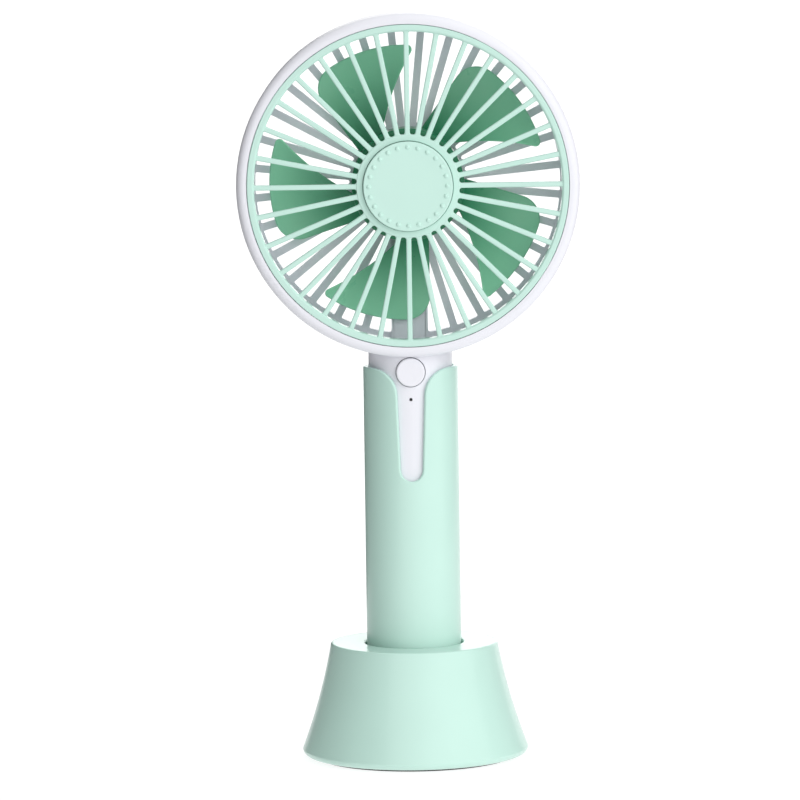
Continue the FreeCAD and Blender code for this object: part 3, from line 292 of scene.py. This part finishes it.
def soften(corners, closed=True, fineness=14):
    """A polygon of (x, y, radius) with its corners turned into arcs: points and right-hand normals.
    An arc has a point at least every fineness degrees."""
    rows = []
    last = len(corners) - 1
    for place, (x, y, radius) in enumerate(corners):
        here = Vector((x, y))
        before = Vector(corners[place - 1][:2])
        after = Vector(corners[(place + 1) % len(corners)][:2])
        arrive, leave = (here - before).normalized(), (after - here).normalized()
        if not closed and place in (0, last):
            way = leave if place == 0 else arrive
            rows.append((here, Vector((way.y, -way.x))))
            continue
        turn = math.atan2(arrive.x * leave.y - arrive.y * leave.x, arrive.dot(leave))
        side = 1 if turn > 0 else -1
        start = here - arrive * (radius * math.tan(abs(turn) / 2))
        first = Vector((arrive.y, -arrive.x))
        centre = start - first * radius * side
        count = max(2, math.ceil(abs(math.degrees(turn)) / fineness))
        for step in range(count + 1):
            angle = turn * step / count
            normal = Vector((
                first.x * math.cos(angle) - first.y * math.sin(angle),
                first.x * math.sin(angle) + first.y * math.cos(angle),
            ))
            rows.append((centre + normal * radius * side, normal))
    return rows


def within(walls, places, triangles):
    """The triangles that lie inside the walls, which are the edges round the material and its holes."""
    starts = np.array([tuple(start) for start, end in walls])
    ends = np.array([tuple(end) for start, end in walls])
    kept = []
    for corners in triangles:
        x, y = sum((places[corner] for corner in corners), Vector((0, 0))) / 3
        crossing = (starts[:, 1] > y) != (ends[:, 1] > y)
        first, second = starts[crossing], ends[crossing]
        share = (y - first[:, 1]) / (second[:, 1] - first[:, 1])
        meets = first[:, 0] + share * (second[:, 0] - first[:, 0])
        if np.count_nonzero(meets > x) % 2:
            kept.append(corners)
    return kept


def add_sheet(skin, chains, low, high, edge, inner_points=(), seams=()):
    """A sheet from w low to w high with every edge rounded. Each chain is (points, normals, closed),
    with the material on its left. Open chains end on the seams, which are rows of points."""
    steps = 4
    tilts = [math.pi / 2 * (1 - step / steps) for step in range(steps + 1)]
    levels = [(tilt, high - edge) for tilt in tilts] + [(-tilt, low + edge) for tilt in reversed(tilts)]
    for points, normals, closed in chains:
        rings = []
        for tilt, base in levels:
            inset = edge * (1 - math.cos(tilt))
            ring = []
            for point, normal in zip(points, normals):
                spot = point - normal * inset
                lean = (normal.x * math.cos(tilt), normal.y * math.cos(tilt), math.sin(tilt))
                ring.append(skin.vertex((spot.x, spot.y, base + edge * math.sin(tilt)), lean))
            rings.append(ring)
        span = len(points) if closed else len(points) - 1
        for first, second in zip(rings, rings[1:]):
            for place in range(span):
                after = (place + 1) % len(points)
                skin.face([first[place], second[place], second[after], first[after]])
    spots, lines = [], []
    for points, normals, closed in chains:
        start = len(spots)
        spots += [point - normal * edge for point, normal in zip(points, normals)]
        lines += [(place, place + 1) for place in range(start, len(spots) - 1)]
        if closed:
            lines.append((len(spots) - 1, start))
    for seam in seams:
        ends = [
            min(range(len(spots)), key=lambda place: (spots[place] - end).length)
            for end in (seam[0], seam[-1])
        ]
        start = len(spots)
        spots += seam[1:-1]
        row = [ends[0], *range(start, len(spots)), ends[1]]
        lines += list(zip(row, row[1:]))
    spots += list(inner_points)
    found = delaunay_2d_cdt(spots, lines, [], 0, 1e-5)
    places = [spots[source[0]] if source else spot for spot, source in zip(found[0], found[3])]
    walls = [(spots[start], spots[end]) for start, end in lines]
    for corners in within(walls, places, found[2]):
        for level, way in ((high, 1), (low, -1)):
            around = [places[corner] for corner in corners[::way]]
            skin.face([skin.vertex((spot.x, spot.y, level), (0, 0, way)) for spot in around])


def add_lathe(skin, corners, closed=True, segments=180, span=(0, 360)):
    """A profile of (radius, w, corner radius), drawn with its inside on the left, turned about the
    w axis over the span of degrees."""
    rows = soften(corners, closed)
    full = span[1] - span[0] == 360
    columns = []
    for segment in range(segments + 1):
        angle = math.radians(span[0] + (span[1] - span[0]) * segment / segments)
        across, up = math.sin(angle), math.cos(angle)
        column = []
        for spot, normal in rows:
            lean = (normal.x * across, normal.x * up, normal.y)
            column.append(skin.vertex((spot.x * across, spot.x * up, spot.y), lean))
        columns.append(column)
    count = len(rows) if closed else len(rows) - 1
    for first, second in zip(columns, columns[1:]):
        for place in range(count):
            after = (place + 1) % len(rows)
            skin.face([first[place], first[after], second[after], second[place]])
    if not full:
        skin.face(columns[0])
        skin.face(columns[-1][::-1])


def in_head(u, v, w):
    """Head places: u to the right, v up, w to the front, from the head's centre."""
    return Vector((u, -w, HEAD_Z / MM + v))


# Front grille

SPOKES = 32
GRILLE_FRONT = -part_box("front_grille")[0].y / MM


def slot_chain(inner, outer, width, direction, corner):
    """One opening from the inner to the outer radius between two spokes of this width, pointing in a
    direction in degrees, with a round end at the hub and small corners at the rim."""
    half = math.pi / SPOKES
    side = Vector((math.cos(half), math.sin(half)))
    shift = Vector((math.sin(half), -math.cos(half))) * width / 2
    near = side * inner + shift
    far = side * outer + shift
    end = math.degrees(math.atan2(far.y, far.x))
    rim_rounding = 20.0
    rim = [(spot.x, spot.y, rim_rounding) for spot in arc(0, 0, far.length, -end, end, 6)[1:-1]]
    corners = [
        (near.x, -near.y, near.y), (far.x, -far.y, corner),
        *rim,
        (far.x, far.y, corner), (near.x, near.y, near.y),
    ]
    rows = soften(corners, fineness=12)
    turn = Matrix.Rotation(math.radians(direction), 2)
    points = [turn @ spot for spot, normal in reversed(rows)]
    normals = [-(turn @ normal) for spot, normal in reversed(rows)]
    return points, normals, True


def make_front_grille():
    """A sheet with the slots cut out, the rim's ring, the cup for the scent cap and four lugs."""
    hub, rim = 15.0, 44.8
    spoke_front = GRILLE_FRONT - 0.4
    spoke_depth, spoke_width, rounding = 2.0, 1.5, 0.4
    skin = Skin(in_head)
    circle_out = arc(0, 0, 45.66, 0, 360, 180)[:-1]
    circle_in = arc(0, 0, 13.9, 360, 0, 120)[:-1]
    chains = [(circle_out, outward(circle_out), True), (circle_in, outward(circle_in), True)]
    for number in range(SPOKES):
        direction = 90 + 360 * (number + 0.5) / SPOKES
        chains.append(slot_chain(hub, rim, spoke_width, direction, 0.45))
    add_sheet(skin, chains, spoke_front - spoke_depth, spoke_front, rounding)
    skirt_rear, ledge, skirt, flange = 9.95, 13.25, 45.7, 46.85
    add_lathe(skin, [
        (rim, skirt_rear, 0.15), (skirt, skirt_rear, 0.15), (skirt, ledge, 0.1), (flange, ledge, 0.1),
        (flange, GRILLE_FRONT, 0.3), (45.25, GRILLE_FRONT, 0.5), (rim, GRILLE_FRONT - 0.45, 0.15),
    ])
    cup_front = spoke_front + 0.2
    cup_rear, cup_floor, cup_bore = 9.6, 10.6, 13.2
    add_lathe(skin, [
        (0, cup_rear, 0), (hub, cup_rear, 0.6), (hub, cup_front, 0.19),
        (cup_bore, cup_front, 0.12), (cup_bore, cup_floor, 0.2), (0, cup_floor, 0),
    ], closed=False)
    lug_root, lug_tip, lug_front, lug_half_angle = 45.4, 46.7, 11.45, 5.5
    lug = [
        (lug_root, skirt_rear, 0.05), (lug_tip, skirt_rear, 0.2),
        (lug_tip, lug_front, 0.2), (lug_root, lug_front, 0.05),
    ]
    for number in range(4):
        middle = 45 + 90 * number
        add_lathe(skin, lug, segments=10, span=(middle - lug_half_angle, middle + lug_half_angle))
    piece = skin.piece("front_grille_skin", MATERIALS["mint_gloss"])
    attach(piece, "front_grille")
    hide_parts("front_grille")


# Handle sleeve

def make_sleeve():
    """The tube, drawn unrolled with the notch for the button and the port's hole, and rolled up."""
    low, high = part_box("handle_sleeve")
    radius = high.x / MM
    bottom, top = low.z / MM, high.z / MM
    wall = 1.45

    def round_the_handle(u, v, w):
        angle = u / radius
        return Vector((w * math.sin(angle), -w * math.cos(angle), v))

    def unrolled(points):
        return [Vector((radius * math.asin(spot.x / radius), spot.y)) for spot in points]

    quarter = math.pi * radius / 2
    left, right = -quarter, 3 * quarter
    fine = [left + (right - left) * step / 240 for step in range(241)]
    shoulder, tongue = 8.0, 4.2
    lean, tongue_length, tongue_end = 0.8, 21.6, 3.4
    centre = tongue + shoulder
    middle = top - shoulder
    sides = [
        Vector((tongue - lean * step / 14, middle - tongue_length * step / 14))
        for step in range(1, 14)
    ]
    half = (
        arc(centre, middle, shoulder, 90, 180, 16)
        + sides
        + arc(0, middle - tongue_length, tongue_end, 0, -90, 10)
    )
    mirrored = [Vector((-spot.x, spot.y)) for spot in reversed(half[:-1])]
    notch = unrolled(half + mirrored)
    start, end = notch[0].x, notch[-1].x
    edge = (
        [Vector((u, top)) for u in reversed(fine) if u > start + 0.2]
        + notch
        + [Vector((u, top)) for u in reversed(fine) if u < end - 0.2]
    )
    base = [Vector((u, bottom)) for u in fine]
    across, up, corner, port_height = 5.9, 3.7, 3.65, 95.0
    port = soften([
        (-across, -up, corner), (across, -up, corner), (across, up, corner), (-across, up, corner),
    ], fineness=9)
    middle_port = Vector((2 * quarter, port_height))
    port_points = [middle_port + spot for spot, normal in reversed(port)]
    port_normals = [-normal for spot, normal in reversed(port)]
    chains = [
        (base, outward(base, False), False),
        (edge, outward(edge, False), False),
        (port_points, port_normals, True),
    ]
    rounding = 0.5
    seam = [bottom + rounding + (top - bottom - 2 * rounding) * step / 24 for step in range(25)]
    seams = [[Vector((u, v)) for v in seam] for u in (left, right)]
    grid = [Vector((u, v)) for u in fine[2:-2:2] for v in seam[1:-1]]
    skin = Skin(round_the_handle)
    add_sheet(skin, chains, radius - wall, radius, rounding, grid, seams)
    piece = skin.piece("handle_sleeve_skin", MATERIALS["mint_gloss"])
    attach(piece, "fan")
    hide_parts("handle_sleeve")


# Rotor

# At four distances from the axis: the middle of the blade along the turn, its width and its slope
BLADE_SECTIONS = (
    (10, -7.2, 12, 1.25), (21, -5.7, 20, 0.78), (32, -2.4, 32, 0.467), (43, 1.5, 42, 0.38),
)
CAMBER_RADIUS_TO_WIDTH = 1.9


def between_sections(distance, column):
    """The value of a section's column at a distance out, on a smooth curve through all the sections."""
    total = 0
    for row in BLADE_SECTIONS:
        share = 1
        for other in BLADE_SECTIONS:
            if other is not row:
                share *= (distance - other[0]) / (row[0] - other[0])
        total += row[column] * share
    return total


def blade_front(distance, along):
    """How far forward the blade's front face is, at a distance out and a place clockwise along it."""
    middle, width, slope = (between_sections(distance, column) for column in (1, 2, 3))
    half = width / 2
    place = (along - middle) / half
    chord = math.hypot(width, width * slope)
    sag = chord * chord / (8 * CAMBER_RADIUS_TO_WIDTH * width)
    return half * slope * place - sag * (1 - place * place)


def on_circle(radius, angle):
    """The point at an angle, in degrees, on a circle about the axis."""
    return arc(0, 0, radius, angle, angle, 1)[0]


def touching(radius, gap):
    """The angle, in degrees, at which a point on a circle about the axis has a gap of nought."""
    low, high = -45.0, 45.0
    rising = gap(on_circle(radius, high)) > 0
    for step in range(50):
        middle = (low + high) / 2
        above = gap(on_circle(radius, middle)) > 0
        low, high = (low, middle) if above == rising else (middle, high)
    return (low + high) / 2


def even(points, spacing):
    """The same line with its points at an even spacing."""
    kept = [points[0]]
    for point in points[1:]:
        count = max(1, round((point - kept[-1]).length / spacing))
        start = kept[-1]
        kept += [start.lerp(point, step / count) for step in range(1, count + 1)]
    return kept


def blade_outline(tip, root):
    """The blade seen from the front: u runs outwards and v counter-clockwise."""
    lead_start, lead_corner = Vector((11, 9.37)), on_circle(tip, 24.7)
    trail_corner, trail_end = on_circle(tip, -23.8), Vector((12, 4.2))
    way = (lead_corner - lead_start).normalized()
    inside = Vector((way.y, -way.x))
    chord = trail_end - trail_corner
    side = Vector((-chord.y, chord.x)).normalized()
    hollow = 71.0
    rise = math.sqrt(hollow ** 2 - chord.length_squared / 4)
    hollow_centre = (trail_corner + trail_end) / 2 + side * rise
    lead_fillet, trail_fillet = 7.0, 1.4

    def lead_gap(spot):
        return (spot - lead_start).dot(inside) - lead_fillet

    def trail_gap(spot):
        return (spot - hollow_centre).length - hollow - trail_fillet

    lead_angle = touching(tip - lead_fillet, lead_gap)
    trail_angle = touching(tip - trail_fillet, trail_gap)
    lead_centre = on_circle(tip - lead_fillet, lead_angle)
    trail_centre = on_circle(tip - trail_fillet, trail_angle)

    def trailing(out):
        """The hollow clockwise edge."""
        return hollow_centre.y + math.sqrt(hollow ** 2 - (out - hollow_centre.x) ** 2)

    root_lead = touching(root, lambda spot: (spot - lead_start).dot(inside))
    root_trail = touching(root, lambda spot: spot.y - trailing(spot.x))
    towards_hollow = (hollow_centre - trail_centre).normalized()
    hollow_turn = math.degrees(math.atan2(towards_hollow.y, towards_hollow.x))
    first = on_circle(root, root_trail).x
    last = (trail_centre + towards_hollow * trail_fillet).x
    lead_turn = math.degrees(math.atan2(-inside.y, -inside.x))
    edge = [first + (last - first) * step / 30 for step in range(31)]
    points = (
        [Vector((out, trailing(out))) for out in edge]
        + arc(trail_centre.x, trail_centre.y, trail_fillet, hollow_turn, trail_angle, 8)[1:]
        + arc(0, 0, tip, trail_angle, lead_angle, 36)[1:]
        + arc(lead_centre.x, lead_centre.y, lead_fillet, lead_angle, lead_turn, 14)[1:]
    )
    points += even([points[-1], on_circle(root, root_lead)], 0.8)[1:]
    points += arc(0, 0, root, root_lead, root_trail, 12)[1:-1]
    return points


def make_rotor():
    """The hub, turned, and five twisted blades."""
    tip, root, thickness = 40.7, 15.75, 1.2
    front, rear, hub_radius, cap_rear = 8.0, -4.5, 16.5, 6.5
    points = blade_outline(tip, root)
    grid = [Vector((u, v)) for u in range(17, 40) for v in range(-16, 17, 2)]
    parts = Skin(in_head)
    add_lathe(parts, [
        (1.0, 1.9, 0.1), (3.0, 1.9, 0.2), (3.0, cap_rear, 0.3), (15.0, cap_rear, 0.5),
        (15.0, rear, 0.2), (hub_radius, rear, 0.4), (hub_radius, front, 1.2), (1.0, front, 0.1),
    ])
    for number in range(5):
        turn = Matrix.Rotation(math.radians(90 - 52 - 72 * number), 2)

        def on_blade(u, v, w, turn=turn):
            spot = turn @ Vector((u, v))
            return in_head(spot.x, spot.y, blade_front(u, -v) + w)

        parts.warp = on_blade
        add_sheet(parts, [(points, outward(points), True)], -thickness, 0, 0.5, grid)
    piece = parts.piece("rotor_skin", MATERIALS["rotor_green"])
    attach(piece, "rotor")
    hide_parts("rotor")


# Floor, light and camera

def make_panel(name, corners, material):
    mesh = bpy.data.meshes.new(name)
    mesh.from_pydata(corners, [], [(0, 1, 2, 3)])
    panel = bpy.data.objects.new(name, mesh)
    bpy.context.scene.collection.objects.link(panel)
    panel.data.materials.append(material)
    return panel


def make_card(name, start, end, low, high, material):
    """An upright card from one place to another, which the camera doesn't see: it shapes the light."""
    corners = [(*start, low), (*end, low), (*end, high), (*start, high)]
    card = make_panel(name, corners, material)
    card.visible_camera = False
    return card


def lit(material, strength):
    """The same material with a white glow, as of paper lit from behind."""
    shader = material.node_tree.nodes["Principled BSDF"]
    shader.inputs["Emission Color"].default_value = (1, 1, 1, 1)
    shader.inputs["Emission Strength"].default_value = strength
    return material


def make_stage():
    """A white floor, a grey card on the right, a dark card and a narrower one on the left, which only
    reflections see, and a bright card low behind the object."""
    size = 14.0
    corners = [(-size, -size, 0), (size, -size, 0), (size, size, 0), (-size, size, 0)]
    paper = (0.18, 0.18, 0.18)
    floor = moulded("floor_paper", paper, 0.8, grain=400, depth=0.00002, variation=0.002)
    make_panel("floor", corners, lit(floor, 0.86))
    black = moulded("black_card", (0.02, 0.02, 0.02), 0.9)
    grey = moulded("grey_card", (0.15, 0.15, 0.15), 0.9)
    make_card("grey_card", (0.5, -0.05), (0.5, 0.6), -0.002, 0.6, grey)
    make_card("dark_card", (-0.3, -0.5), (-0.3, 0.35), -0.002, 0.6, black)
    edge = make_card("edge_card", (-0.5, 0.3), (-0.05, 0.3), 0.001, 0.4, black)
    edge.visible_diffuse = edge.visible_shadow = False
    white = lit(moulded("bright_card", (0.8, 0.8, 0.8), 0.8), 1.3)
    make_card("bright_card", (-0.5, 1.2), (0.5, 1.2), 0.04, 0.4, white)


def make_sun(name, azimuth, elevation, strength, softness):
    """A distant soft light. Azimuth 0 is in front of the object, and 90 is to its right."""
    light = bpy.data.lights.new(name, "SUN")
    light.energy = strength
    light.angle = math.radians(softness)
    item = bpy.data.objects.new(name, light)
    item.visible_glossy = False
    turn, rise = math.radians(azimuth), math.radians(elevation)
    level = math.cos(rise)
    away = Vector((math.sin(turn) * level, -math.cos(turn) * level, math.sin(rise)))
    item.rotation_euler = away.to_track_quat("Z", "Y").to_euler()
    bpy.context.scene.collection.objects.link(item)


def make_world():
    world = bpy.data.worlds.new("studio")
    world.use_nodes = True
    background = world.node_tree.nodes["Background"]
    background.inputs["Color"].default_value = (1, 1, 1, 1)
    background.inputs["Strength"].default_value = 1.0
    bpy.context.scene.world = world


def make_camera():
    """A long lens 1.5 m away and a little above the head, rolled so that the fan leans slightly."""
    data = bpy.data.cameras.new("camera")
    data.sensor_width = 36.0
    data.lens = 230.5
    data.clip_end = 100.0
    camera = bpy.data.objects.new("camera", data)
    aim = Vector((-0.0032, 0, 0.1057))
    camera.location = Vector((-0.0032, -1.5, 0.2565))
    look = (aim - camera.location).to_track_quat("-Z", "Y")
    roll = Matrix.Rotation(math.radians(-0.8), 4, "Z")
    camera.matrix_world = Matrix.Translation(camera.location) @ look.to_matrix().to_4x4() @ roll
    bpy.context.scene.collection.objects.link(camera)
    bpy.context.scene.camera = camera


make_front_grille()
make_sleeve()
make_rotor()
bpy.context.scene.view_settings.view_transform = "Standard"
make_stage()
make_world()
make_sun("key_light", 38, 28, 0.85, 50)
make_sun("top_light", 0, 80, 0.15, 30)
make_camera()
